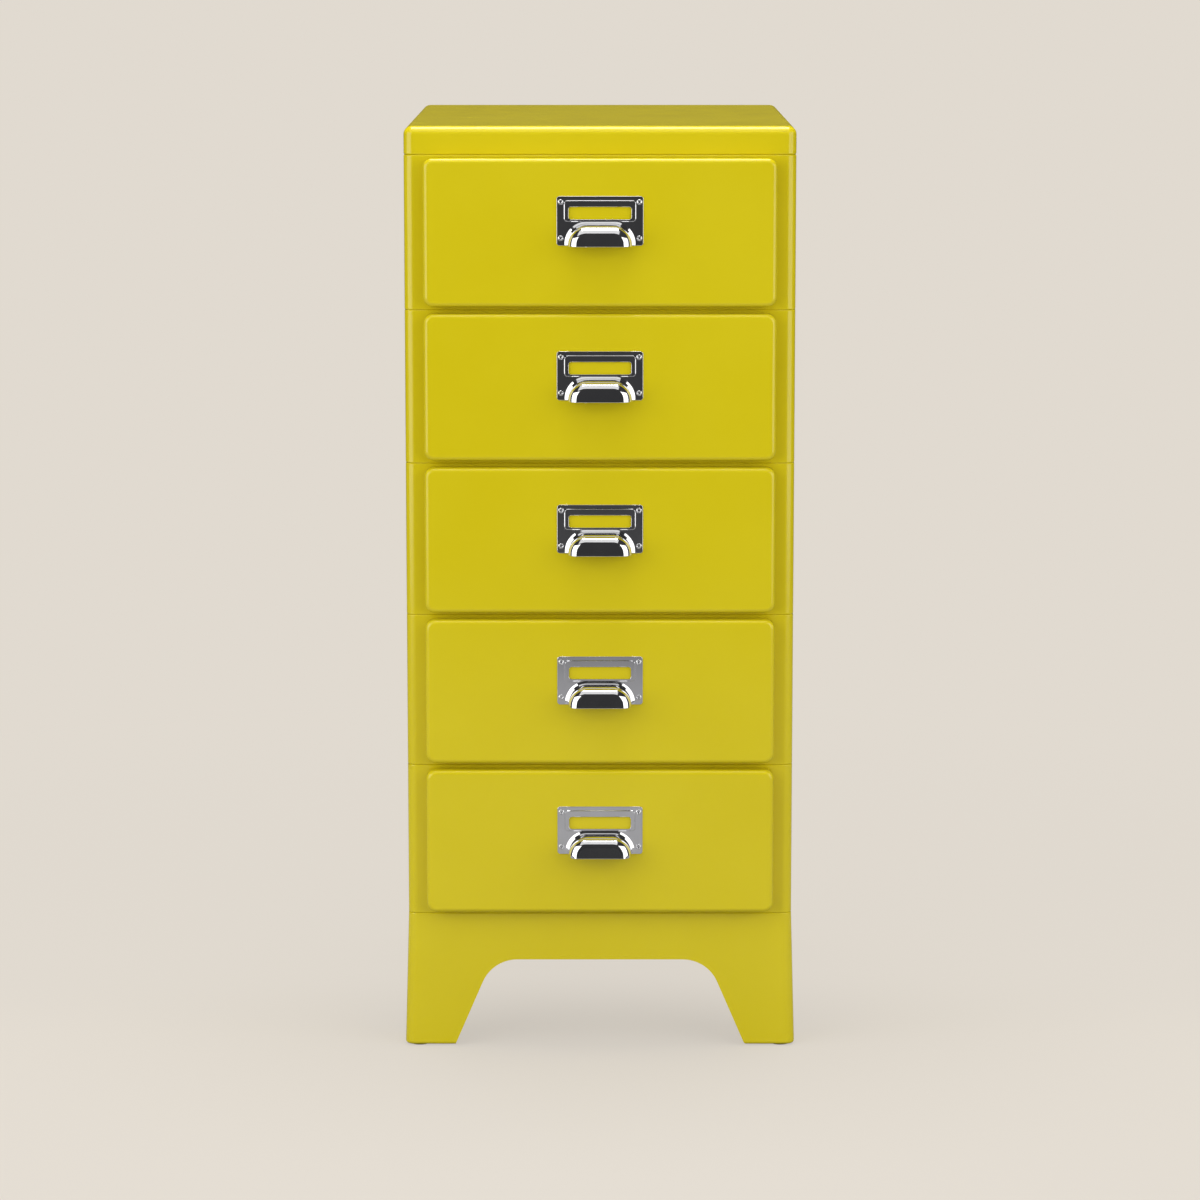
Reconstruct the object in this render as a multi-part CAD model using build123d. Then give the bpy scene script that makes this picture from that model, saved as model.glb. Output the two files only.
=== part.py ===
from build123d import *
import math
import os

# Archive cabinet: a stack of folded steel drawer cases between a pressed cover and a splayed leg base.
# Millimetres. X runs across the front, the drawers face -Y and slide out along it, Z is up.
# The origin is on the floor, under the middle of the whole object's bounding box.

# Overall sizes
CASE_COUNT = 5
CASE_WIDTH = 275.0
CASE_DEPTH = 345.0
CASE_HEIGHT = 108.5
COVER_HEIGHT = 20.0
BASE_HEIGHT = 96.5

# Folded sheet of the cases and the cover
CASE_SHEET = 1.0
CORNER_RADIUS = 6.5
LIP_WIDTH = 14.0
LIP_BEND_RADIUS = 0.8
LIP_CORNER_RADIUS = 4.0
FACE_FLANGE = 16.0
FACE_RAIL = 8.0
MOUTH_CORNER_RADIUS = 3.0
COVER_EDGE_RADIUS = 3.4

# Shelf that closes the bottom of each case
FLOOR_SHEET = 0.8
FLOOR_CLEARANCE = 0.3

# Leg base, pressed from one sheet
BASE_SHEET = 1.2
BASE_FLARE = 2.7
ARCH_HEIGHT = 62.4
ARCH_CORNER_RADIUS = 27.0
LEG_FOOT_WIDTH = 36.0
LEG_SPLAY_DEG = 23.4
LEG_TOE_RADIUS = 3.0
FOOT_FLANGE = 18.0
FOOT_BEND_RADIUS = 2.0

# Plastic glides under the legs
GLIDE_PROUD = 1.0
GLIDE_DIAMETER = 14.0
GLIDE_STEM_DIAMETER = 6.0
GLIDE_STEM_LENGTH = 6.0
GLIDE_WALL_GAP = 2.0

# Bolts and nuts that join the stack, through lip on lip
BOLT_DIAMETER = 4.8
BOLT_HOLE_DIAMETER = 5.5
BOLT_HEAD_ACROSS = 8.0
BOLT_HEAD_HEIGHT = 3.4
BOLT_TAIL = 1.5
NUT_ACROSS = 8.0
NUT_HEIGHT = 4.0
NUT_BORE_CLEARANCE = 0.1

# Runner channels on the case walls
RUNNER_SHEET = 1.2
RUNNER_HEIGHT = 14.0
RUNNER_RISE = 46.0
RUNNER_BEND_RADIUS = 2.0
RUNNER_CLEARANCE = 0.7
STOP_SETBACK = 60.0
STOP_LENGTH = 6.0
STOP_DROP = 5.0
STOP_CLEARANCE = 1.0

# Slides on the drawer sides
SLIDE_SHEET = 1.5
SLIDE_REACH = 12.0
SLIDE_LEG_HEIGHT = 9.0
SLIDE_CLEARANCE = 0.3
SLIDE_SETBACK = 4.0
SLIDE_LUG_LENGTH = 8.0
SLIDE_LUG_HEIGHT = 9.0
MOUTH_CLEARANCE = 1.0

# Drawer tray
TRAY_SHEET = 0.9
TRAY_HEIGHT = 80.0
TRAY_RAIL_CLEARANCE = 1.5
TRAY_REAR_GAP = 12.0
TRAY_BEND_RADIUS = 2.0
TRAY_HEM_HEIGHT = 6.0

# Drawer front, a pressed pan closed by a panel behind
FRONT_REVEAL = 13.75
FRONT_TOP_GAP = 2.0
FRONT_BOTTOM_GAP = 3.0
FRONT_DEPTH = 11.0
FRONT_STANDOFF = 0.5
FRONT_SHEET = 1.0
FRONT_CORNER_RADIUS = 5.5
FRONT_EDGE_RADIUS = 3.0
PANEL_SHEET = 1.0
PANEL_CLEARANCE = 0.2

# Cup pull with a label frame, pressed as one piece
PULL_WIDTH = 60.6
PULL_HEIGHT = 34.5
PULL_SHEET = 0.8
PULL_CORNER_RADIUS = 2.0
PULL_EDGE_RADIUS = 0.3
PULL_DROP = 26.0
FRAME_WIDTH = 50.3
FRAME_HEIGHT = 15.0
FRAME_TOP_MARGIN = 2.8
FRAME_RISE = 0.6
FRAME_SLOPE_DEG = 35.0
FRAME_CORNER_RADIUS = 2.4
FRAME_EDGE_RADIUS = 0.25
WINDOW_WIDTH = 44.0
WINDOW_HEIGHT = 8.8
WINDOW_DROP = 4.6
WINDOW_CORNER_RADIUS = 1.8
WINDOW_EDGE_RADIUS = 0.25
CUP_WIDTH = 46.6
CUP_HEIGHT = 15.0
CUP_RAISE = 0.4
CUP_DEPTH = 20.0
CUP_CORNER_RADIUS = 14.0
CUP_EDGE_RADIUS = 7.2
CUP_DRAFT_DEG = 4.0
CUP_LEAN_DEG = 6.0
LIP_RADIUS = 0.35
RIM_WIDTH = 1.4
RIM_RISE = 0.7

# Rivets that hold the pull on the drawer front
RIVET_HEAD_DIAMETER = 3.8
RIVET_HEAD_HEIGHT = 0.9
RIVET_BORE_DIAMETER = 1.4
RIVET_BORE_DEPTH = 1.5
RIVET_CREST_RADIUS = 1.15
RIVET_BORE_LIP = 0.6
RIVET_SHANK_DIAMETER = 2.2
RIVET_HOLE_DIAMETER = 2.4
RIVET_TAIL_DIAMETER = 3.2
RIVET_TAIL_HEIGHT = 0.8
RIVET_SIDE_MARGIN = 2.8
RIVET_TOP_MARGIN = 4.0
RIVET_BOTTOM_MARGIN = 5.2

# How far a cutting tool runs past the sheet that it cuts
CUT_OVERRUN = 5.0

# Places along Y, from the case front to what stands before and behind it
CASE_FRONT_Y = (FRONT_STANDOFF + FRONT_DEPTH + CUP_DEPTH - CASE_DEPTH - BASE_FLARE) / 2
CASE_CENTRE_Y = CASE_FRONT_Y + CASE_DEPTH / 2
CASE_REAR_Y = CASE_FRONT_Y + CASE_DEPTH
FRONT_BACK_Y = CASE_FRONT_Y - FRONT_STANDOFF
FRONT_FACE_Y = FRONT_BACK_Y - FRONT_DEPTH

# Places along Z
BASE_TOP_Z = GLIDE_PROUD + BASE_HEIGHT
COVER_BOTTOM_Z = BASE_TOP_Z + CASE_COUNT * CASE_HEIGHT

# The drawer front and the mouth that it covers
FRONT_WIDTH = CASE_WIDTH - 2 * FRONT_REVEAL
FRONT_HEIGHT = CASE_HEIGHT - FRONT_TOP_GAP - FRONT_BOTTOM_GAP
MOUTH_WIDTH = CASE_WIDTH - 2 * FACE_FLANGE
MOUTH_HEIGHT = CASE_HEIGHT - 2 * FACE_RAIL

# The tray and its slides pass the mouth with a clearance on every side
TRAY_HALF_WIDTH = MOUTH_WIDTH / 2 - MOUTH_CLEARANCE - SLIDE_REACH
TRAY_BOTTOM_Z = FACE_RAIL + TRAY_RAIL_CLEARANCE
TRAY_FRONT_Y = FRONT_BACK_Y
TRAY_REAR_Y = CASE_REAR_Y - CASE_SHEET - TRAY_REAR_GAP

# The runner reaches from the case wall to just short of the slide's upright leg
RUNNER_OUTER_X = CASE_WIDTH / 2 - CASE_SHEET
RUNNER_INNER_X = TRAY_HALF_WIDTH + SLIDE_SHEET + RUNNER_CLEARANCE
RUNNER_FRONT_Y = CASE_FRONT_Y + CORNER_RADIUS
RUNNER_LENGTH = CASE_DEPTH - 2 * CORNER_RADIUS
STOP_FRONT_Y = RUNNER_FRONT_Y + STOP_SETBACK

# A slide's lug meets the runner's stop when the drawer is fully out
SLIDE_BOTTOM_Z = RUNNER_RISE + RUNNER_SHEET + SLIDE_CLEARANCE
SLIDE_FRONT_Y = CASE_FRONT_Y + SLIDE_SETBACK
LUG_FRONT_Y = TRAY_REAR_Y - SLIDE_LUG_LENGTH

# Bolts stand in the middle of the lips, at the four corners of the case
BOLT_X = CASE_WIDTH / 2 - CASE_SHEET - LIP_WIDTH / 2
BOLT_Y = CASE_DEPTH / 2 - CASE_SHEET - LIP_WIDTH / 2

# The pull hangs below the top edge of the drawer front
PULL_BOTTOM_Z = FRONT_BOTTOM_GAP + FRONT_HEIGHT - PULL_DROP - PULL_HEIGHT
FRAME_TOP_Z = PULL_HEIGHT - FRAME_TOP_MARGIN
RIVET_X = PULL_WIDTH / 2 - RIVET_SIDE_MARGIN


def case_bottom(number):
    """Height of the bottom of a case above the floor; case 1 is the top one."""
    return BASE_TOP_Z + (CASE_COUNT - number) * CASE_HEIGHT


def rounded_prism(width, depth, radius, height):
    """An upright block with rounded corners, standing on Z 0 under the middle of the case."""
    return Pos(0, CASE_CENTRE_Y, 0) * extrude(RectangleRounded(width, depth, radius), height)


def front_plate(width, height, radius, thickness, back_y, middle_z, draft=0):
    """A rounded plate parallel to the front, which runs forward from back_y and narrows by a draft."""
    plane = Plane.XZ.location * Pos(0, middle_z, -back_y)
    return extrude(plane * RectangleRounded(width, height, radius), thickness, taper=draft)


def box_between(low, high):
    """A block between two opposite corners."""
    size = [b - a for a, b in zip(low, high)]
    middle = [(a + b) / 2 for a, b in zip(low, high)]
    return Pos(*middle) * Box(*size)


def on_both_sides(shape):
    """The part on the right side, and its mirror image on the left."""
    return {"right": shape, "left": mirror(shape, about=Plane.YZ)}


def bolt_places():
    """The middle of each bolt hole, seen from above."""
    return [
        (side * BOLT_X, CASE_CENTRE_Y + end * BOLT_Y) for side in (-1, 1) for end in (-1, 1)
    ]


def bolt_holes(bottom, top):
    """The cutters of the four bolt holes, from one height to another."""
    drill = Cylinder(BOLT_HOLE_DIAMETER / 2, top - bottom)
    return [Pos(x, y, (bottom + top) / 2) * drill for x, y in bolt_places()]


def lip_window(bottom, top):
    """The cutter that leaves a lip round the edge of a closed case, cover or base."""
    inset = 2 * (CASE_SHEET + LIP_WIDTH)
    window = rounded_prism(CASE_WIDTH - inset, CASE_DEPTH - inset, LIP_CORNER_RADIUS, top - bottom)
    return Pos(0, 0, bottom) * window


def edges_of_face(shape, axis, last):
    """The outline of the shape's last or first face along an axis."""
    faces = shape.faces().sort_by(axis)
    return faces[-1 if last else 0].edges()


def make_case_shell():
    """One drawer case: walls, lips to bolt it to its neighbours, and a mouth in front."""
    outer = rounded_prism(CASE_WIDTH, CASE_DEPTH, CORNER_RADIUS, CASE_HEIGHT)
    rims = edges_of_face(outer, Axis.Z, True) + edges_of_face(outer, Axis.Z, False)
    outer = fillet(rims, LIP_BEND_RADIUS)
    hollow = rounded_prism(
        CASE_WIDTH - 2 * CASE_SHEET,
        CASE_DEPTH - 2 * CASE_SHEET,
        CORNER_RADIUS - CASE_SHEET,
        CASE_HEIGHT - 2 * CASE_SHEET,
    )
    mouth = front_plate(
        MOUTH_WIDTH,
        MOUTH_HEIGHT,
        MOUTH_CORNER_RADIUS,
        CASE_SHEET + 2 * CUT_OVERRUN,
        CASE_FRONT_Y + CASE_SHEET + CUT_OVERRUN,
        CASE_HEIGHT / 2,
    )
    shell = outer - Pos(0, 0, CASE_SHEET) * hollow
    shell -= lip_window(-CUT_OVERRUN, CASE_HEIGHT + CUT_OVERRUN)
    shell -= mouth
    return shell - bolt_holes(-CUT_OVERRUN, CASE_HEIGHT + CUT_OVERRUN)


def make_case_floor():
    """The shelf that lies on a case's bottom lip."""
    inset = CASE_SHEET + FLOOR_CLEARANCE
    sheet = rounded_prism(
        CASE_WIDTH - 2 * inset, CASE_DEPTH - 2 * inset, CORNER_RADIUS - inset, FLOOR_SHEET
    )
    return Pos(0, 0, CASE_SHEET) * sheet - bolt_holes(0, CASE_SHEET + FLOOR_SHEET + CUT_OVERRUN)


def make_runner():
    """A channel on the right wall of a case, open towards the drawer, with a stop that hangs in it."""
    rear_y = RUNNER_FRONT_Y + RUNNER_LENGTH
    top_z = RUNNER_RISE + RUNNER_HEIGHT
    bar = box_between(
        (RUNNER_INNER_X, RUNNER_FRONT_Y, RUNNER_RISE), (RUNNER_OUTER_X, rear_y, top_z)
    )
    outer_face = bar.faces().sort_by(Axis.X)[-1]
    bar = fillet(outer_face.edges().filter_by(Axis.Y), RUNNER_BEND_RADIUS)
    groove = box_between(
        (RUNNER_INNER_X - CUT_OVERRUN, RUNNER_FRONT_Y - CUT_OVERRUN, RUNNER_RISE + RUNNER_SHEET),
        (RUNNER_OUTER_X - RUNNER_SHEET, rear_y + CUT_OVERRUN, top_z - RUNNER_SHEET),
    )
    stop = box_between(
        (RUNNER_INNER_X, STOP_FRONT_Y, top_z - RUNNER_SHEET - STOP_DROP),
        (RUNNER_OUTER_X - RUNNER_SHEET, STOP_FRONT_Y + STOP_LENGTH, top_z - RUNNER_SHEET),
    )
    return bar - groove + stop


def make_top_cover():
    """The pressed lid of the stack, with an inward lip below that is bolted to the top case."""
    edge_radius = min(COVER_EDGE_RADIUS, CORNER_RADIUS - LIP_BEND_RADIUS / 2)
    outer = rounded_prism(CASE_WIDTH, CASE_DEPTH, CORNER_RADIUS, COVER_HEIGHT)
    outer = fillet(edges_of_face(outer, Axis.Z, True), edge_radius)
    outer = fillet(edges_of_face(outer, Axis.Z, False), LIP_BEND_RADIUS)
    hollow = rounded_prism(
        CASE_WIDTH - 2 * CASE_SHEET,
        CASE_DEPTH - 2 * CASE_SHEET,
        CORNER_RADIUS - CASE_SHEET,
        COVER_HEIGHT - 2 * CASE_SHEET,
    )
    hollow = fillet(edges_of_face(hollow, Axis.Z, True), edge_radius - CASE_SHEET)
    cover = outer - Pos(0, 0, CASE_SHEET) * hollow
    cover -= lip_window(-CUT_OVERRUN, COVER_HEIGHT / 2)
    cover -= bolt_holes(-CUT_OVERRUN, COVER_HEIGHT / 2)
    return Pos(0, 0, COVER_BOTTOM_Z) * cover


def base_section(height, inset):
    """The outline of the splayed base at a height above its foot, drawn in by an inset."""
    spread = BASE_FLARE * (1 - height / BASE_HEIGHT) - inset
    outline = RectangleRounded(
        CASE_WIDTH + 2 * spread, CASE_DEPTH + 2 * spread, CORNER_RADIUS - inset
    )
    return Pos(0, CASE_CENTRE_Y, height) * outline


def arch_cutter(side_length, plane, length):
    """The cutter of the arch between two legs, on a side of the base that is side_length wide."""
    foot_gap = side_length / 2 - LEG_FOOT_WIDTH
    crown_gap = foot_gap - ARCH_HEIGHT * math.tan(math.radians(LEG_SPLAY_DEG))
    skirt = foot_gap + LEG_FOOT_WIDTH / 2
    outline = Polygon(
        (-skirt, -CUT_OVERRUN),
        (skirt, -CUT_OVERRUN),
        (skirt, 0),
        (foot_gap, 0),
        (crown_gap, ARCH_HEIGHT),
        (-crown_gap, ARCH_HEIGHT),
        (-foot_gap, 0),
        (-skirt, 0),
        align=None,
    )
    crowns = outline.vertices().group_by(Axis.Y)[-1]
    outline = fillet(crowns, ARCH_CORNER_RADIUS)
    toes = [v for v in outline.vertices() if v.Y == 0 and abs(v.X) < skirt - LEG_TOE_RADIUS]
    outline = fillet(toes, LEG_TOE_RADIUS)
    return extrude(plane.location * outline, length / 2, both=True)


def glide_places():
    """The middle of each glide, on the foot flange inside a corner of the base."""
    inset = BASE_SHEET + GLIDE_WALL_GAP + GLIDE_DIAMETER / 2
    x = CASE_WIDTH / 2 + BASE_FLARE - inset
    y = CASE_DEPTH / 2 + BASE_FLARE - inset
    return [(side * x, CASE_CENTRE_Y + end * y) for side in (-1, 1) for end in (-1, 1)]


def make_leg_base():
    """The splayed skirt with an arch on each side, a lip above and a flange under each leg."""
    outer = loft([base_section(0, 0), base_section(BASE_HEIGHT, 0)])
    outer = fillet(edges_of_face(outer, Axis.Z, False), FOOT_BEND_RADIUS)
    outer = fillet(edges_of_face(outer, Axis.Z, True), LIP_BEND_RADIUS)
    hollow = loft(
        [base_section(BASE_SHEET, BASE_SHEET), base_section(BASE_HEIGHT - BASE_SHEET, BASE_SHEET)]
    )
    foot_window = rounded_prism(
        CASE_WIDTH + 2 * (BASE_FLARE - FOOT_FLANGE),
        CASE_DEPTH + 2 * (BASE_FLARE - FOOT_FLANGE),
        LIP_CORNER_RADIUS,
        BASE_SHEET + CUT_OVERRUN,
    )
    base = outer - hollow
    base -= Pos(0, 0, -CUT_OVERRUN + BASE_SHEET / 2) * foot_window
    base -= lip_window(BASE_HEIGHT - BASE_SHEET - CUT_OVERRUN, BASE_HEIGHT + CUT_OVERRUN)
    reach = 2 * (CASE_DEPTH + CUT_OVERRUN)
    middle = Pos(0, CASE_CENTRE_Y, 0)
    base -= middle * arch_cutter(CASE_WIDTH + 2 * BASE_FLARE, Plane.XZ, reach)
    base -= middle * arch_cutter(CASE_DEPTH + 2 * BASE_FLARE, Plane.YZ, reach)
    base -= bolt_holes(BASE_HEIGHT - BASE_SHEET - CUT_OVERRUN, BASE_HEIGHT + CUT_OVERRUN)
    stem_hole = Cylinder(GLIDE_STEM_DIAMETER / 2, 2 * (BASE_SHEET + CUT_OVERRUN))
    base -= [Pos(x, y, 0) * stem_hole for x, y in glide_places()]
    return Pos(0, 0, GLIDE_PROUD) * base


def make_foot_glides():
    """Four plastic glides, each a disc on the floor with a stem through the foot flange."""
    disc = extrude(Circle(GLIDE_DIAMETER / 2), GLIDE_PROUD)
    stem = extrude(Circle(GLIDE_STEM_DIAMETER / 2), GLIDE_PROUD + GLIDE_STEM_LENGTH)
    glide = disc + stem
    return Compound(children=[Pos(x, y, 0) * glide for x, y in glide_places()])


def hexagon(across, height):
    """A hexagonal prism of a given size across its flats."""
    return extrude(RegularPolygon(across / 2, 6, major_radius=False), height)


def stack_seams():
    """For each seam of the stack, where the bolt heads sit and where the nuts end below it."""
    for number in range(CASE_COUNT + 1):
        seam = BASE_TOP_Z + (CASE_COUNT - number) * CASE_HEIGHT
        shelf = FLOOR_SHEET if number > 0 else 0
        lower_lip = BASE_SHEET if number == CASE_COUNT else CASE_SHEET
        yield seam + CASE_SHEET + shelf, seam - lower_lip


def make_stacking_bolts():
    """The bolts that hold the cover, the cases and the base together."""
    bolts = []
    for seat, lip_under in stack_seams():
        length = seat - lip_under + NUT_HEIGHT + BOLT_TAIL
        head = hexagon(BOLT_HEAD_ACROSS, BOLT_HEAD_HEIGHT)
        shank = Pos(0, 0, -length) * extrude(Circle(BOLT_DIAMETER / 2), length)
        bolts += [Pos(x, y, seat) * (head + shank) for x, y in bolt_places()]
    return Compound(children=bolts)


def make_stacking_nuts():
    """The nuts under the lips, one to each bolt."""
    bore = Cylinder(BOLT_DIAMETER / 2 + NUT_BORE_CLEARANCE, 2 * (NUT_HEIGHT + CUT_OVERRUN))
    nut = hexagon(NUT_ACROSS, NUT_HEIGHT) - bore
    nuts = []
    for _, lip_under in stack_seams():
        nuts += [Pos(x, y, lip_under - NUT_HEIGHT) * nut for x, y in bolt_places()]
    return Compound(children=nuts)


def make_drawer_front():
    """The pressed pan that shows: a face with soft edges and a rim folded back."""
    middle_z = FRONT_BOTTOM_GAP + FRONT_HEIGHT / 2
    pan = front_plate(
        FRONT_WIDTH, FRONT_HEIGHT, FRONT_CORNER_RADIUS, FRONT_DEPTH, FRONT_BACK_Y, middle_z
    )
    edge_radius = min(FRONT_EDGE_RADIUS, FRONT_CORNER_RADIUS - FRONT_SHEET)
    pan = fillet(edges_of_face(pan, Axis.Y, False), edge_radius)
    hollow = front_plate(
        FRONT_WIDTH - 2 * FRONT_SHEET,
        FRONT_HEIGHT - 2 * FRONT_SHEET,
        FRONT_CORNER_RADIUS - FRONT_SHEET,
        FRONT_DEPTH - FRONT_SHEET + CUT_OVERRUN,
        FRONT_BACK_Y + CUT_OVERRUN,
        middle_z,
    )
    hollow = fillet(edges_of_face(hollow, Axis.Y, False), edge_radius - FRONT_SHEET)
    return pan - hollow - rivet_holes(FRONT_FACE_Y)


def make_inner_panel():
    """The flat sheet that closes the pan from behind and carries the tray."""
    inset = FRONT_SHEET + PANEL_CLEARANCE
    return front_plate(
        FRONT_WIDTH - 2 * inset,
        FRONT_HEIGHT - 2 * inset,
        FRONT_CORNER_RADIUS - inset,
        PANEL_SHEET,
        FRONT_BACK_Y,
        FRONT_BOTTOM_GAP + FRONT_HEIGHT / 2,
    )


def make_tray():
    """The open drawer box, folded from sheet, with a hem turned in round its top."""
    low = (-TRAY_HALF_WIDTH, TRAY_FRONT_Y, TRAY_BOTTOM_Z)
    high = (TRAY_HALF_WIDTH, TRAY_REAR_Y, TRAY_BOTTOM_Z + TRAY_HEIGHT)
    block = box_between(low, high)
    folds = block.edges().filter_by(Axis.Z) + edges_of_face(block, Axis.Z, False)
    block = fillet(folds, TRAY_BEND_RADIUS)
    hem_z = high[2] - TRAY_HEM_HEIGHT
    room = box_between(
        (low[0] + TRAY_SHEET, low[1] + TRAY_SHEET, low[2] + TRAY_SHEET),
        (high[0] - TRAY_SHEET, high[1] - TRAY_SHEET, hem_z),
    )
    room_folds = room.edges().filter_by(Axis.Z) + edges_of_face(room, Axis.Z, False)
    room = fillet(room_folds, TRAY_BEND_RADIUS - TRAY_SHEET)
    hem = 2 * TRAY_SHEET
    opening = box_between(
        (low[0] + hem, low[1] + hem, hem_z - TRAY_SHEET),
        (high[0] - hem, high[1] - hem, high[2] + CUT_OVERRUN),
    )
    return block - room - opening


def make_slide():
    """The angle on the right side of a tray that rides in the runner, with a lug that meets the stop."""
    upright = box_between(
        (TRAY_HALF_WIDTH, SLIDE_FRONT_Y, SLIDE_BOTTOM_Z),
        (TRAY_HALF_WIDTH + SLIDE_SHEET, TRAY_REAR_Y, SLIDE_BOTTOM_Z + SLIDE_LEG_HEIGHT),
    )
    ledge = box_between(
        (TRAY_HALF_WIDTH, SLIDE_FRONT_Y, SLIDE_BOTTOM_Z),
        (TRAY_HALF_WIDTH + SLIDE_REACH, TRAY_REAR_Y, SLIDE_BOTTOM_Z + SLIDE_SHEET),
    )
    lug = box_between(
        (RUNNER_INNER_X, LUG_FRONT_Y, SLIDE_BOTTOM_Z),
        (TRAY_HALF_WIDTH + SLIDE_REACH, TRAY_REAR_Y, SLIDE_BOTTOM_Z + SLIDE_LUG_HEIGHT),
    )
    return upright + ledge + lug


def pull_plate(width, height, radius, thickness, middle_z, back_y=0, draft=0):
    """A rounded plate of the pull, above the pull's bottom edge and forward of its back."""
    plate = front_plate(width, height, radius, thickness, FRONT_FACE_Y + back_y, middle_z, draft)
    return Pos(0, 0, PULL_BOTTOM_Z) * plate


def rivet_places():
    """The middle of each rivet on the drawer front, as X and Z."""
    heights = (RIVET_BOTTOM_MARGIN, PULL_HEIGHT - RIVET_TOP_MARGIN)
    return [(side * RIVET_X, PULL_BOTTOM_Z + z) for side in (-1, 1) for z in heights]


def rivet_holes(face_y):
    """The cutters of the rivet holes through the sheet about a plane."""
    drill = Rot(90, 0, 0) * Cylinder(RIVET_HOLE_DIAMETER / 2, 2 * (FRONT_SHEET + PULL_SHEET))
    return [Pos(x, face_y, z) * drill for x, z in rivet_places()]


def make_cup(inset):
    """The hood of the pull as a full block, drawn in by an inset, with a front that leans back."""
    depth = CUP_DEPTH - inset
    hood = pull_plate(
        CUP_WIDTH - 2 * inset,
        2 * (CUP_HEIGHT - inset),
        CUP_CORNER_RADIUS - inset,
        depth + CUP_HEIGHT,
        CUP_RAISE,
        draft=CUP_DRAFT_DEG,
    )
    before = box_between((-PULL_WIDTH, -PULL_WIDTH, -PULL_WIDTH), (PULL_WIDTH, 0, PULL_WIDTH))
    leaning = Rot(-CUP_LEAN_DEG, 0, 0) * before
    hood -= Pos(0, FRONT_FACE_Y - depth, PULL_BOTTOM_Z + CUP_RAISE) * leaning
    return fillet(edges_of_face(hood, Axis.Y, False), CUP_EDGE_RADIUS - inset)


def make_hood():
    """The outer form of the hood, cut off below, with a rounded lip and a sloping rim on the plate."""
    below = box_between(
        (-PULL_WIDTH, FRONT_FACE_Y - PULL_WIDTH, PULL_BOTTOM_Z - PULL_WIDTH),
        (PULL_WIDTH, FRONT_FACE_Y + CUT_OVERRUN, PULL_BOTTOM_Z + CUP_RAISE),
    )
    cup = make_cup(0) - below
    lip = edges_of_face(cup, Axis.Z, False).sort_by(Axis.Y)[:-1]
    cup = fillet(lip, LIP_RADIUS)
    rim = pull_plate(
        CUP_WIDTH + 2 * RIM_WIDTH,
        2 * (CUP_HEIGHT + RIM_WIDTH),
        CUP_CORNER_RADIUS + RIM_WIDTH,
        RIM_RISE,
        CUP_RAISE,
        -PULL_SHEET,
        math.degrees(math.atan(RIM_WIDTH / RIM_RISE)),
    )
    return cup + (rim - below)


def make_pull():
    """The chromed pull: a plate with a raised label frame and a hood for the fingers, in one sheet."""
    plate = pull_plate(PULL_WIDTH, PULL_HEIGHT, PULL_CORNER_RADIUS, PULL_SHEET, PULL_HEIGHT / 2)
    plate = fillet(edges_of_face(plate, Axis.Y, False), PULL_EDGE_RADIUS)
    frame_z = FRAME_TOP_Z - FRAME_HEIGHT / 2
    frame = pull_plate(
        FRAME_WIDTH,
        FRAME_HEIGHT,
        FRAME_CORNER_RADIUS,
        FRAME_RISE,
        frame_z,
        -PULL_SHEET,
        FRAME_SLOPE_DEG,
    )
    frame = fillet(edges_of_face(frame, Axis.Y, False), FRAME_EDGE_RADIUS)
    pocket = pull_plate(
        FRAME_WIDTH - 2 * PULL_SHEET,
        FRAME_HEIGHT - 2 * PULL_SHEET,
        FRAME_CORNER_RADIUS - PULL_SHEET,
        FRAME_RISE + CUT_OVERRUN,
        frame_z,
        CUT_OVERRUN,
    )
    window = pull_plate(
        WINDOW_WIDTH,
        WINDOW_HEIGHT,
        WINDOW_CORNER_RADIUS,
        FRAME_RISE + 2 * CUT_OVERRUN,
        FRAME_TOP_Z - WINDOW_DROP - WINDOW_HEIGHT / 2,
        CUT_OVERRUN,
    )
    label_plate = plate + frame - pocket - window
    window_edge = edges_of_face(label_plate, Axis.Y, False).filter_by(is_window_edge)
    label_plate = fillet(window_edge, WINDOW_EDGE_RADIUS)
    pull = label_plate + make_hood() - make_cup(PULL_SHEET)
    return pull - rivet_holes(FRONT_FACE_Y)


def is_window_edge(edge):
    """Whether an edge of the label frame's front goes round the window, not round the frame."""
    middle_z = PULL_BOTTOM_Z + FRAME_TOP_Z - WINDOW_DROP - WINDOW_HEIGHT / 2
    middle = edge @ 0.5
    beside = abs(middle.X) < WINDOW_WIDTH / 2 + WINDOW_EDGE_RADIUS
    level = abs(middle.Z - middle_z) < WINDOW_HEIGHT / 2 + WINDOW_EDGE_RADIUS
    return beside and level


def make_pull_rivets():
    """Four hollow rivets with round-topped heads, through the pull and the drawer front."""
    head_r = RIVET_HEAD_DIAMETER / 2
    bore_r = RIVET_BORE_DIAMETER / 2
    grip = PULL_SHEET + FRONT_SHEET
    crown = ThreePointArc((head_r, 0), (RIVET_CREST_RADIUS, RIVET_HEAD_HEIGHT), (bore_r, RIVET_BORE_LIP))
    shank_r = RIVET_SHANK_DIAMETER / 2
    tail_r = RIVET_TAIL_DIAMETER / 2
    bore_end = RIVET_HEAD_HEIGHT - RIVET_BORE_DEPTH
    outline = Polyline(
        (bore_r, RIVET_BORE_LIP),
        (bore_r, bore_end),
        (0, bore_end),
        (0, -grip - RIVET_TAIL_HEIGHT),
        (tail_r, -grip - RIVET_TAIL_HEIGHT),
        (tail_r, -grip),
        (shank_r, -grip),
        (shank_r, 0),
        (head_r, 0),
    )
    profile = Plane.XZ * make_face(Curve() + [crown, outline])
    rivet = Rot(90, 0, 0) * revolve(profile, Axis.Z)
    seat_y = FRONT_FACE_Y - PULL_SHEET
    return Compound(children=[Pos(x, seat_y, z) * rivet for x, z in rivet_places()])


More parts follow.
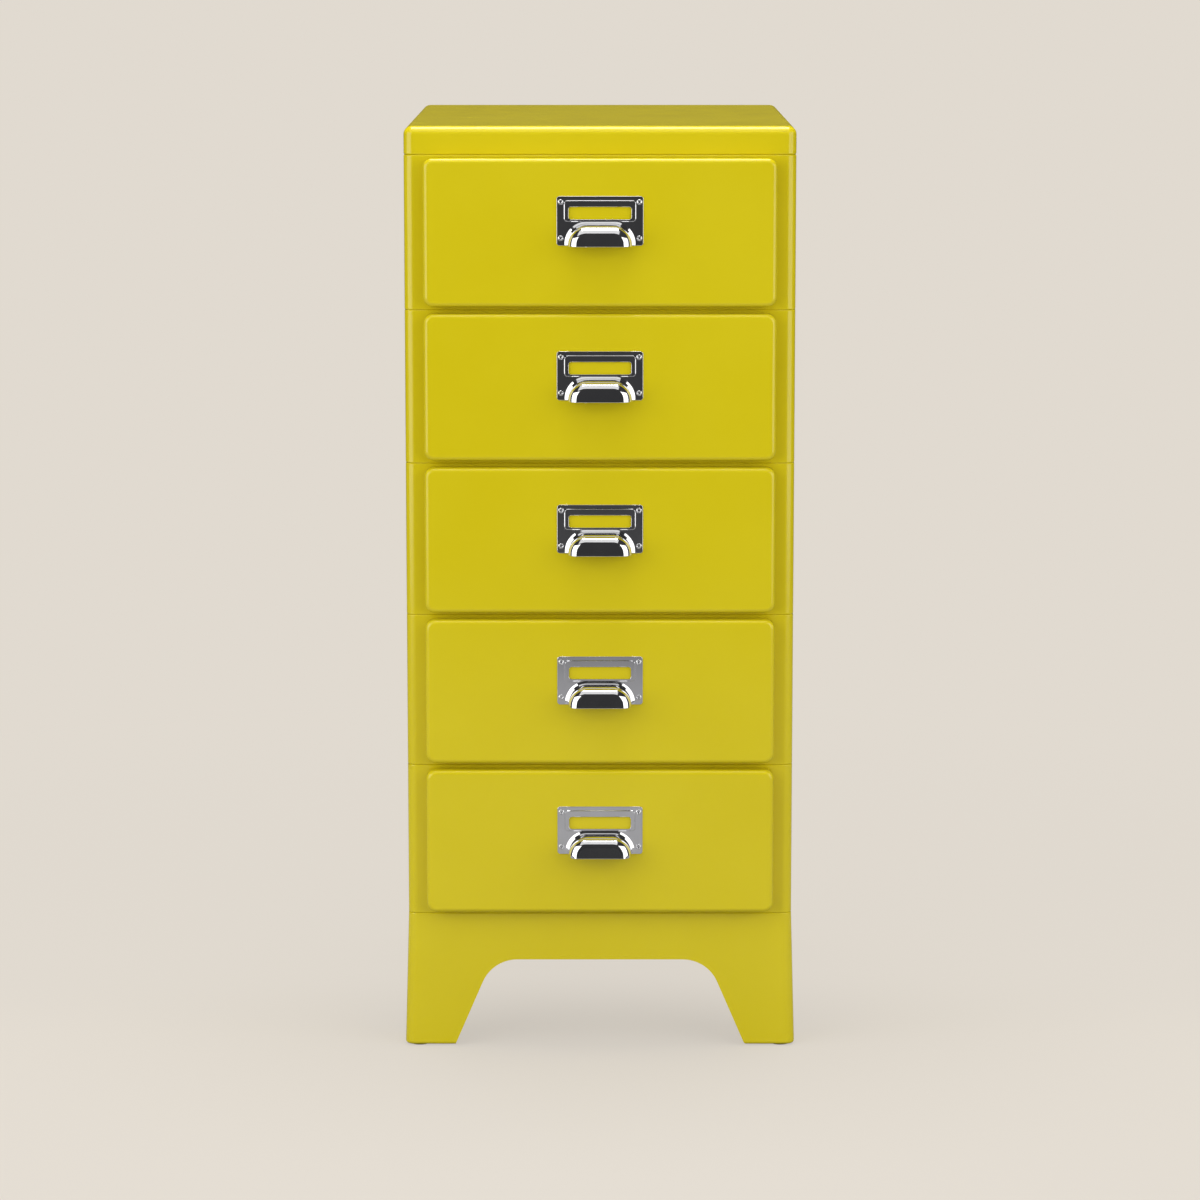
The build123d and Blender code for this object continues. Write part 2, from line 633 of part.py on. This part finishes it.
def build_parts():
    """Every piece of the cabinet in place, by the name of its node."""
    parts = {
        "top_cover": make_top_cover(),
        "leg_base": make_leg_base(),
        "foot_glides": make_foot_glides(),
        "stacking_bolts": make_stacking_bolts(),
        "stacking_nuts": make_stacking_nuts(),
    }
    repeated = {
        "case_{}_shell": make_case_shell(),
        "case_{}_floor": make_case_floor(),
        "drawer_{}_front": make_drawer_front(),
        "drawer_{}_inner_panel": make_inner_panel(),
        "drawer_{}_tray": make_tray(),
        "drawer_{}_pull": make_pull(),
        "drawer_{}_pull_rivets": make_pull_rivets(),
    }
    for side, shape in on_both_sides(make_runner()).items():
        repeated["case_{}_runner_" + side] = shape
    for side, shape in on_both_sides(make_slide()).items():
        repeated["drawer_{}_slide_" + side] = shape
    for number in range(1, CASE_COUNT + 1):
        lift = Pos(0, 0, case_bottom(number))
        for name, shape in repeated.items():
            parts[name.format(number)] = lift * shape
    return parts


def main():
    """Writes one STEP file for each piece."""
    os.makedirs("parts", exist_ok=True)
    for name, shape in build_parts().items():
        export_step(shape, f"parts/{name}.step")


if __name__ == "__main__":
    main()
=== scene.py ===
"""Looks of the archive cabinet: its finishes, its softly rounded pressings and a plain studio."""

import logging
import math
from dataclasses import dataclass
from enum import Enum
from typing import Iterable, Sequence

import bmesh
import bpy
from mathutils import Matrix, Vector


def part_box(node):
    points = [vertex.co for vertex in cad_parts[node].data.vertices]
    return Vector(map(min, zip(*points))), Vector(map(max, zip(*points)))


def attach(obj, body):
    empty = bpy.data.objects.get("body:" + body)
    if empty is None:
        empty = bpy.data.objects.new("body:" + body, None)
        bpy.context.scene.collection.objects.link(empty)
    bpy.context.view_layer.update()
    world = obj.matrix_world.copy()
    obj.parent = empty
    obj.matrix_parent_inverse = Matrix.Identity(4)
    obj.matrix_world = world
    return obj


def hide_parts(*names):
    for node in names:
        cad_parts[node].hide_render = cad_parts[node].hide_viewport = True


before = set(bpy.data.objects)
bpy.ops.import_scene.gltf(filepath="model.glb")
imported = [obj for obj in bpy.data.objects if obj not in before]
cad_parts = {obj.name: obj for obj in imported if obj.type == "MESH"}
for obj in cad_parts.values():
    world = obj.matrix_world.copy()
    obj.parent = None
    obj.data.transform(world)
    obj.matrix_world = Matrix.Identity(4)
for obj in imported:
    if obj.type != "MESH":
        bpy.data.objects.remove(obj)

LOG = logging.getLogger("archive_cabinet")
MM = 0.001
CASE_NUMBERS = (1, 2, 3, 4, 5)
NOISE_RANGE = (0.3, 0.7)
MIX_SHARE, MIX_FIRST, MIX_SECOND = 0, 6, 7
MIX_RESULT = 2
WHITE = (1.0, 1.0, 1.0, 1.0)
Colour = tuple[float, float, float, float]
Place = tuple[float, float, float]
BMesh = bmesh.types.BMesh
Node = bpy.types.Node
Socket = bpy.types.NodeSocket


class Body(Enum):
    """The rigid bodies that a piece can ride on."""

    CABINET = "cabinet"
    DRAWER = "drawer_{}"

    def named(self, number: int) -> str:
        """Gives the body's name for the drawer or case of that number."""
        return self.value.format(number)


class Slot(Enum):
    """The material slots of the part's record."""

    ENAMEL = "yellow_enamel"
    CHROME = "chrome"
    ZINC = "zinc_steel"
    NYLON = "glide_plastic"


class NodeBoard:
    """A material's or world's node tree, with short calls to add and join nodes."""

    def __init__(self, owner: bpy.types.ID) -> None:
        """Clears the owner's node tree.

        Args:
            owner: The material or world whose nodes are made.
        """
        owner.use_nodes = True
        self.tree = owner.node_tree
        self.tree.nodes.clear()

    def add(self, kind: str, settings: dict | None = None, **inputs) -> Node:
        """Adds a node.

        Args:
            kind: The node's class name, such as ShaderNodeTexNoise.
            settings: Properties of the node itself.
            inputs: Input sockets by name, with spaces as underscores. Each gets a value, or a
                socket to link from.

        Returns:
            The new node.
        """
        node = self.tree.nodes.new(kind)
        for key, value in (settings or {}).items():
            setattr(node, key, value)
        for key, value in inputs.items():
            self.feed(node, key.replace("_", " "), value)
        return node

    def feed(self, node: Node, socket: str | int, value) -> None:
        """Sets an input socket, or links it from another node's output socket."""
        target = node.inputs[socket]
        if isinstance(value, Socket):
            self.tree.links.new(value, target)
        else:
            target.default_value = value

    def noise(self, place: Socket, scale: float, detail: float) -> Socket:
        """Adds a noise texture and gives its value socket."""
        node = self.add("ShaderNodeTexNoise", Vector=place, Scale=scale, Detail=detail)
        return node.outputs["Fac"]

    def spread(self, value: Socket, low: float, high: float) -> Socket:
        """Maps a noise value, which stays near its middle, to a range.

        Args:
            value: The socket to map.
            low: What a low noise value gives.
            high: What a high noise value gives.

        Returns:
            The mapped value's socket.
        """
        node = self.add("ShaderNodeMapRange", Value=value, To_Min=low, To_Max=high)
        self.feed(node, "From Min", NOISE_RANGE[0])
        self.feed(node, "From Max", NOISE_RANGE[1])
        return node.outputs["Result"]

    def blend(self, share: Socket, first: Colour, second: Colour) -> Socket:
        """Mixes two colours by a share and gives the colour socket."""
        node = self.add("ShaderNodeMix", {"data_type": "RGBA"})
        self.feed(node, MIX_SHARE, share)
        self.feed(node, MIX_FIRST, first)
        self.feed(node, MIX_SECOND, second)
        return node.outputs[MIX_RESULT]

    def step(
        self, value: Socket, start: float, end: float, low: float | Socket, high: float
    ) -> Socket:
        """Adds a smooth step between two values of a socket.

        Args:
            value: The socket to follow.
            start: Where the step starts.
            end: Where the step ends.
            low: The result before the step, or a socket that gives it.
            high: The result after the step.

        Returns:
            The result's socket.
        """
        node = self.add(
            "ShaderNodeMapRange",
            {"interpolation_type": "SMOOTHSTEP"},
            Value=value,
            From_Min=start,
            From_Max=end,
            To_Min=low,
            To_Max=high,
        )
        return node.outputs["Result"]

    def mix(self, share: Socket, first: Node, second: Node) -> Node:
        """Mixes two shaders by a share and gives the mix node."""
        node = self.add("ShaderNodeMixShader")
        self.feed(node, 0, share)
        self.feed(node, 1, first.outputs[0])
        self.feed(node, 2, second.outputs[0])
        return node

    def object_place(self) -> Socket:
        """Gives the socket of the object's own coordinates, in metres."""
        return self.add("ShaderNodeTexCoord").outputs["Object"]

    def bump(self, height: Socket, strength: float, depth: float) -> Socket:
        """Adds a bump of a given depth, in metres, and gives its normal socket."""
        node = self.add("ShaderNodeBump", Height=height, Strength=strength, Distance=depth)
        return node.outputs["Normal"]

    def surface(self, shader: Node) -> None:
        """Joins a shader to the material output."""
        output = self.add("ShaderNodeOutputMaterial")
        self.tree.links.new(shader.outputs[0], output.inputs["Surface"])


@dataclass(frozen=True)
class EnamelFinish:
    """Satin powder coat on sheet steel, with a fine orange peel."""

    name: str = "yellow_enamel"
    deep: Colour = (0.640, 0.522, 0.005, 1.0)
    light: Colour = (0.662, 0.546, 0.009, 1.0)
    roughness: tuple[float, float] = (0.15, 0.18)
    cloud_scale: float = 9.0
    gloss_scale: float = 45.0
    peel_scale: float = 1400.0
    peel_depth: float = 0.02 * MM
    cloud_detail: float = 3.0
    gloss_detail: float = 4.0
    peel_detail: float = 1.5
    peel_strength: float = 0.35
    ior: float = 1.5

    def material(self) -> bpy.types.Material:
        """Makes the material.

        Returns:
            The enamel material.
        """
        made = bpy.data.materials.new(self.name)
        board = NodeBoard(made)
        place = board.object_place()
        cloud = board.spread(board.noise(place, self.cloud_scale, self.cloud_detail), 0.0, 1.0)
        gloss = board.noise(place, self.gloss_scale, self.gloss_detail)
        peel = board.noise(place, self.peel_scale, self.peel_detail)
        shader = board.add(
            "ShaderNodeBsdfPrincipled",
            Base_Color=board.blend(cloud, self.deep, self.light),
            Roughness=board.spread(gloss, *self.roughness),
            Normal=board.bump(peel, self.peel_strength, self.peel_depth),
            IOR=self.ior,
        )
        board.surface(shader)
        return made


@dataclass(frozen=True)
class MetalFinish:
    """Plated metal whose gloss and tone vary a little over the surface."""

    name: str
    deep: Colour
    light: Colour
    roughness: tuple[float, float]
    cloud_scale: float
    grain_scale: float
    grain_depth: float
    cloud_detail: float = 4.0
    gloss_per_cloud: float = 2.0
    gloss_detail: float = 5.0
    grain_detail: float = 2.0
    grain_strength: float = 0.25

    def material(self) -> bpy.types.Material:
        """Makes the material.

        Returns:
            The metal material.
        """
        made = bpy.data.materials.new(self.name)
        board = NodeBoard(made)
        place = board.object_place()
        cloud = board.spread(board.noise(place, self.cloud_scale, self.cloud_detail), 0.0, 1.0)
        gloss = board.noise(place, self.cloud_scale * self.gloss_per_cloud, self.gloss_detail)
        grain = board.noise(place, self.grain_scale, self.grain_detail)
        shader = board.add(
            "ShaderNodeBsdfPrincipled",
            Base_Color=board.blend(cloud, self.deep, self.light),
            Metallic=1.0,
            Roughness=board.spread(gloss, *self.roughness),
            Normal=board.bump(grain, self.grain_strength, self.grain_depth),
        )
        board.surface(shader)
        return made


@dataclass(frozen=True)
class NylonFinish:
    """Moulded black nylon with a fine matt grain."""

    name: str = "glide_plastic"
    deep: Colour = (0.012, 0.012, 0.013, 1.0)
    light: Colour = (0.022, 0.022, 0.023, 1.0)
    roughness: tuple[float, float] = (0.42, 0.58)
    grain_scale: float = 1800.0
    grain_depth: float = 0.03 * MM
    grain_detail: float = 2.0
    grain_strength: float = 0.4

    def material(self) -> bpy.types.Material:
        """Makes the material.

        Returns:
            The nylon material.
        """
        made = bpy.data.materials.new(self.name)
        board = NodeBoard(made)
        place = board.object_place()
        grain = board.noise(place, self.grain_scale, self.grain_detail)
        shader = board.add(
            "ShaderNodeBsdfPrincipled",
            Base_Color=board.blend(board.spread(grain, 0.0, 1.0), self.deep, self.light),
            Roughness=board.spread(grain, *self.roughness),
            Normal=board.bump(grain, self.grain_strength, self.grain_depth),
        )
        board.surface(shader)
        return made


CHROME = MetalFinish(
    name="chrome",
    deep=(0.74, 0.74, 0.75, 1.0),
    light=(0.80, 0.80, 0.81, 1.0),
    roughness=(0.045, 0.085),
    cloud_scale=60.0,
    grain_scale=900.0,
    grain_depth=0.004 * MM,
)
ZINC = MetalFinish(
    name="zinc_steel",
    deep=(0.46, 0.47, 0.49, 1.0),
    light=(0.62, 0.63, 0.65, 1.0),
    roughness=(0.30, 0.46),
    cloud_scale=180.0,
    grain_scale=1200.0,
    grain_depth=0.02 * MM,
)


class Finishes:
    """The materials of the cabinet, one for each slot of the record."""

    def __init__(self) -> None:
        """Makes the materials once, to be shared by all the pieces."""
        self.by_slot = {
            Slot.ENAMEL: EnamelFinish().material(),
            Slot.CHROME: CHROME.material(),
            Slot.ZINC: ZINC.material(),
            Slot.NYLON: NylonFinish().material(),
        }

    def dress(self, piece: bpy.types.Object, slot: Slot) -> None:
        """Gives a piece one finish all over.

        Args:
            piece: The object to dress.
            slot: The record's slot that names the finish.
        """
        materials = piece.data.materials
        if not materials:
            materials.append(None)
        for index in range(len(materials)):
            materials[index] = self.by_slot[slot]


@dataclass(frozen=True)
class PressedPan:
    """A pressed sheet pan: a flat face with round corners and soft edges, open or lipped behind."""

    corner_radius: float
    edge_radius: float
    sheet: float = 1.0 * MM
    rear_radius: float = 0.0
    lip: float = 0.0
    lip_radius: float = 0.0
    segments: int = 8
    sharp_angle: float = math.radians(38.0)

    def shape(self, size: Vector) -> BMesh:
        """Draws the pan about the origin, with its face upward.

        Args:
            size: Width, height and depth of the pan, in metres.

        Returns:
            The pan as a closed sheet.
        """
        pan = bmesh.new()
        bmesh.ops.create_cube(pan, size=1.0)
        bmesh.ops.scale(pan, vec=size, verts=pan.verts)
        upright = [edge for edge in pan.edges if edge.verts[0].co.xy == edge.verts[1].co.xy]
        self.round_off(pan, upright, self.corner_radius)
        self.round_off(pan, self.end_face(pan, 1.0).edges, self.edge_radius)
        if self.rear_radius:
            self.round_off(pan, self.end_face(pan, -1.0).edges, self.rear_radius)
        back = self.end_face(pan, -1.0)
        if self.lip:
            self.draw_lip(pan, back, size)
        bmesh.ops.delete(pan, geom=[back], context="FACES_ONLY")
        bmesh.ops.recalc_face_normals(pan, faces=pan.faces)
        bmesh.ops.solidify(pan, geom=pan.faces[:], thickness=self.sheet)
        bmesh.ops.recalc_face_normals(pan, faces=pan.faces)
        return pan

    def round_off(
        self, pan: BMesh, edges: Iterable[bmesh.types.BMEdge], radius: float
    ) -> None:
        """Rounds edges of the pan.

        Args:
            pan: The pan that the edges belong to.
            edges: The edges to round.
            radius: How far the rounding reaches, in metres.
        """
        bmesh.ops.bevel(
            pan,
            geom=list(edges),
            offset=radius,
            affect="EDGES",
            segments=self.segments,
            profile=0.5,
            material=-1,
        )

    def draw_lip(self, pan: BMesh, back: bmesh.types.BMFace, size: Vector) -> None:
        """Leaves a lip round the back face, whose inner edge has round corners of its own.

        Args:
            pan: The pan that the face belongs to.
            back: The back face, which becomes the opening inside the lip.
            size: Width, height and depth of the pan, in metres.
        """
        bmesh.ops.inset_region(pan, faces=[back], thickness=self.sheet / 2.0, use_even_offset=True)
        for vert in back.verts:
            quarter = Vector((math.copysign(1.0, vert.co.x), math.copysign(1.0, vert.co.y)))
            corner = size.xy * quarter / 2.0
            outward = (vert.co.xy - corner + quarter * self.corner_radius).normalized()
            vert.co.xy = corner - quarter * (self.lip + self.lip_radius) + outward * self.lip_radius

    @staticmethod
    def end_face(pan: BMesh, side: float) -> bmesh.types.BMFace:
        """Gives the pan's flat face above (side 1) or below (side -1)."""
        return max(pan.faces, key=lambda face: side * face.calc_center_median().z)

    def build(self, name: str, node: str, upward: bool) -> bpy.types.Object:
        """Builds the pan in the place of a node of the frame.

        Args:
            name: The new piece's name.
            node: The node that it stands for.
            upward: Whether the face is on top; otherwise it is in front.

        Returns:
            The new piece.
        """
        low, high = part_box(node)
        size = high - low
        turn = Matrix.Identity(4)
        if not upward:
            size = Vector((size.x, size.z, size.y))
            turn = Matrix.Rotation(math.radians(90.0), 4, "X")
        pan = self.shape(size)
        centre = Matrix.Translation((low + high) / 2.0)
        bmesh.ops.transform(pan, matrix=centre @ turn, verts=pan.verts)
        piece = new_object(name, pan)
        piece.data.shade_smooth()
        piece.data.set_sharp_from_angle(angle=self.sharp_angle)
        piece.modifiers.new("even_normals", "WEIGHTED_NORMAL").keep_sharp = True
        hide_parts(node)
        return piece


@dataclass
class Carcass:
    """The fixed stack: cover, cases, base and the hardware between them."""

    finishes: Finishes
    cover: PressedPan = PressedPan(
        corner_radius=6.5 * MM,
        edge_radius=6.0 * MM,
        rear_radius=1.2 * MM,
        lip=15.0 * MM,
        lip_radius=4.0 * MM,
    )

    def build_cover(self) -> None:
        """Builds the lid of the stack with its soft edges."""
        piece = self.cover.build("pressed_cover", "top_cover", upward=True)
        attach(piece, Body.CABINET.value)
        self.finishes.dress(piece, Slot.ENAMEL)

    def dress_frame(self) -> None:
        """Gives each fixed node of the frame its finish."""
        enamel = ["top_cover", "leg_base"]
        enamel += [f"case_{n}_{piece}" for n in CASE_NUMBERS for piece in ("shell", "floor")]
        zinc = ["stacking_bolts", "stacking_nuts"]
        zinc += [f"case_{n}_runner_{side}" for n in CASE_NUMBERS for side in ("left", "right")]
        nodes_of = {Slot.ENAMEL: enamel, Slot.ZINC: zinc, Slot.NYLON: ["foot_glides"]}
        for slot, nodes in nodes_of.items():
            for node in nodes:
                self.finishes.dress(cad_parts[node], slot)
        LOG.info("carcass dressed")


@dataclass
class Drawer:
    """One drawer with its front, tray, slides and pull."""

    finishes: Finishes
    number: int
    front: PressedPan = PressedPan(corner_radius=6.8 * MM, edge_radius=3.2 * MM)

    def build_front(self) -> None:
        """Builds the drawer's pressed front with its soft edges."""
        drawer = f"drawer_{self.number}"
        piece = self.front.build(f"{drawer}_pressed_front", f"{drawer}_front", upward=False)
        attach(piece, Body.DRAWER.named(self.number))
        self.finishes.dress(piece, Slot.ENAMEL)

    def dress_frame(self) -> None:
        """Gives each of the drawer's nodes its finish."""
        finish_of = {
            Slot.ENAMEL: ("front", "inner_panel", "tray"),
            Slot.ZINC: ("slide_left", "slide_right"),
            Slot.CHROME: ("pull", "pull_rivets"),
        }
        for slot, pieces in finish_of.items():
            for piece in pieces:
                self.finishes.dress(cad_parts[f"drawer_{self.number}_{piece}"], slot)
        LOG.info("drawer %d dressed", self.number)


@dataclass(frozen=True)
class Softbox:
    """A rectangular studio lamp that faces a point."""

    name: str
    place: Place
    aim: Place
    width: float
    height: float
    watts: float

    def build(self) -> None:
        """Adds the lamp to the scene."""
        lamp = bpy.data.lights.new(self.name, "AREA")
        lamp.shape = "RECTANGLE"
        lamp.size = self.width
        lamp.size_y = self.height
        lamp.energy = self.watts
        holder = bpy.data.objects.new(self.name, lamp)
        holder.location = self.place
        toward = Vector(self.aim) - Vector(self.place)
        holder.rotation_euler = toward.to_track_quat("-Z", "Y").to_euler()
        bpy.context.scene.collection.objects.link(holder)


@dataclass
class Studio:
    """The pale floor, the soft light and the camera."""

    backdrop: Colour = (0.752, 0.701, 0.631, 1.0)
    surround: Colour = (0.040, 0.040, 0.042, 1.0)
    mirrored_wall: Colour = (0.060, 0.058, 0.054, 1.0)
    mirrored_floor: Colour = (0.320, 0.318, 0.326, 1.0)
    far_floor: Colour = (0.125, 0.125, 0.130, 1.0)
    ambient: float = 0.37
    floor_half: float = 40.0
    matt_pale: Colour = (0.632, 0.590, 0.534, 1.0)
    shadow_shares: tuple[float, float] = (0.29, 0.07)
    shadow_run: tuple[float, float] = (-0.17, 0.07)
    fade: tuple[float, float] = (0.45, 1.2)
    pale_reach: tuple[float, float] = (1.55, 2.3)
    camera_gap: float = 3.0
    camera_height: float = 0.8048
    camera_pitch: float = 9.084
    lens: float = 128.36
    sensor_width: float = 36.0
    wall_turn: tuple[float, float] = (-0.1, 0.5)
    lit_middle: Place = (0.0, -0.16, 0.40)
    side_place: Place = (1.35, -1.25, 0.76)
    side_size: tuple[float, float] = (1.8, 1.45)
    side_watts: tuple[float, float] = (19.5, 16.8)
    top_place: Place = (-0.15, -0.95, 2.05)
    top_size: tuple[float, float] = (1.7, 1.5)
    top_watts: float = 7.0
    ceiling_place: Place = (0.0, 0.10, 2.40)
    ceiling_size: tuple[float, float] = (1.2, 1.2)
    ceiling_watts: float = 32.0

    def build(self) -> None:
        """Adds the floor, the world, the lamps and the camera."""
        self.build_world()
        self.build_floor()
        for lamp in self.lamps():
            lamp.build()
        self.build_camera()
        LOG.info("studio built")

    def lamps(self) -> Iterable[Softbox]:
        """Gives the softboxes: one at each side, one above the front and one over the cabinet.

        Yields:
            Each softbox, still to be built.
        """
        x, y, z = self.side_place
        middle = self.lit_middle
        left_watts, right_watts = self.side_watts
        yield Softbox("left_panel", (-x, y, z), middle, *self.side_size, left_watts)
        yield Softbox("right_panel", (x, y, z), middle, *self.side_size, right_watts)
        yield Softbox("top_panel", self.top_place, middle, *self.top_size, self.top_watts)
        below = (*self.ceiling_place[:2], 0.0)
        yield Softbox(
            "ceiling_panel", self.ceiling_place, below, *self.ceiling_size, self.ceiling_watts
        )

    def build_world(self) -> None:
        """Makes an even light. Mirrors see a dark room, a little lighter behind the cabinet."""
        world = bpy.data.worlds.new("studio")
        bpy.context.scene.world = world
        board = NodeBoard(world)
        side = board.add("ShaderNodeSeparateXYZ")
        board.feed(side, 0, board.add("ShaderNodeTexCoord").outputs["Generated"])
        behind = board.add("ShaderNodeMapRange", Value=side.outputs["Y"])
        board.feed(behind, "From Min", self.wall_turn[0])
        board.feed(behind, "From Max", self.wall_turn[1])
        room = board.blend(behind.outputs["Result"], self.surround, self.mirrored_wall)
        mirrored = board.add("ShaderNodeBackground", Color=room)
        seen = board.add("ShaderNodeBackground", Color=self.backdrop, Strength=1.0)
        light = board.add("ShaderNodeBackground", Color=WHITE, Strength=self.ambient)
        path = board.add("ShaderNodeLightPath")
        glossy = board.mix(path.outputs["Is Glossy Ray"], light, mirrored)
        shown = board.mix(path.outputs["Is Camera Ray"], glossy, seen)
        board.add("ShaderNodeOutputWorld", Surface=shown.outputs[0])

    def build_floor(self) -> None:
        """Lays the floor, which takes the shadow near the cabinet and fades to the backdrop."""
        shape = bmesh.new()
        bmesh.ops.create_grid(shape, x_segments=1, y_segments=1, size=self.floor_half)
        floor = new_object("studio_floor", shape)
        floor.data.materials.append(self.floor_material())

    def floor_material(self) -> bpy.types.Material:
        """Makes the floor's material: a soft shadow near the cabinet, thinned toward the rear by
        painted light.

        Further out the camera sees the backdrop's colour. Other rays see a matt floor, which gets
        darker far from the cabinet.

        Returns:
            The floor material.
        """
        made = bpy.data.materials.new("studio_floor")
        board = NodeBoard(made)
        place = board.object_place()
        length = board.add("ShaderNodeVectorMath", {"operation": "LENGTH"})
        board.feed(length, 0, place)
        reach = length.outputs["Value"]
        split = board.add("ShaderNodeSeparateXYZ")
        board.feed(split, 0, place)
        front_share, rear_share = self.shadow_shares
        # painted light: more of the glowing backdrop colour toward the rear, so the shadow fades
        # there
        painted_light_share = board.step(split.outputs["Y"], *self.shadow_run, 1.0 - front_share, 1.0 - rear_share)
        far = board.step(reach, *self.fade, painted_light_share, 1.0)
        dark = board.step(reach, *self.pale_reach, 0.0, 1.0)
        bare = board.blend(dark, self.mirrored_floor, self.far_floor)
        matt = board.add("ShaderNodeBsdfDiffuse", Color=bare)
        shaded = board.add("ShaderNodeBsdfDiffuse", Color=self.matt_pale)
        seen = board.add("ShaderNodeEmission", Color=self.backdrop, Strength=1.0)
        to_camera = board.mix(far, shaded, seen)
        path = board.add("ShaderNodeLightPath")
        board.surface(board.mix(path.outputs["Is Camera Ray"], matt, to_camera))
        return made

    def build_camera(self) -> None:
        """Places the camera before the middle of the cabinet, tilted down a little."""
        data = bpy.data.cameras.new("camera")
        data.lens = self.lens
        data.sensor_width = self.sensor_width
        camera = bpy.data.objects.new("camera", data)
        case_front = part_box("case_1_shell")[0].y
        camera.location = (0.0, case_front - self.camera_gap, self.camera_height)
        camera.rotation_euler = (math.radians(90.0 - self.camera_pitch), 0.0, 0.0)
        bpy.context.scene.collection.objects.link(camera)
        bpy.context.scene.camera = camera


def new_object(name: str, shape: BMesh) -> bpy.types.Object:
    """Turns a finished bmesh into an object of the scene.

    Args:
        name: The object's name.
        shape: The bmesh, which is freed.

    Returns:
        The new object, at the origin.
    """
    mesh = bpy.data.meshes.new(name)
    shape.to_mesh(mesh)
    shape.free()
    made = bpy.data.objects.new(name, mesh)
    bpy.context.scene.collection.objects.link(made)
    return made


def main() -> None:
    """Builds and dresses the cabinet, then its studio."""
    logging.basicConfig(level=logging.INFO, format="%(message)s")
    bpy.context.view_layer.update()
    bpy.context.scene.view_settings.view_transform = "Standard"
    finishes = Finishes()
    carcass = Carcass(finishes)
    carcass.dress_frame()
    carcass.build_cover()
    for number in CASE_NUMBERS:
        drawer = Drawer(finishes, number)
        drawer.dress_frame()
        drawer.build_front()
    Studio().build()


if __name__ == "__main__":
    main()
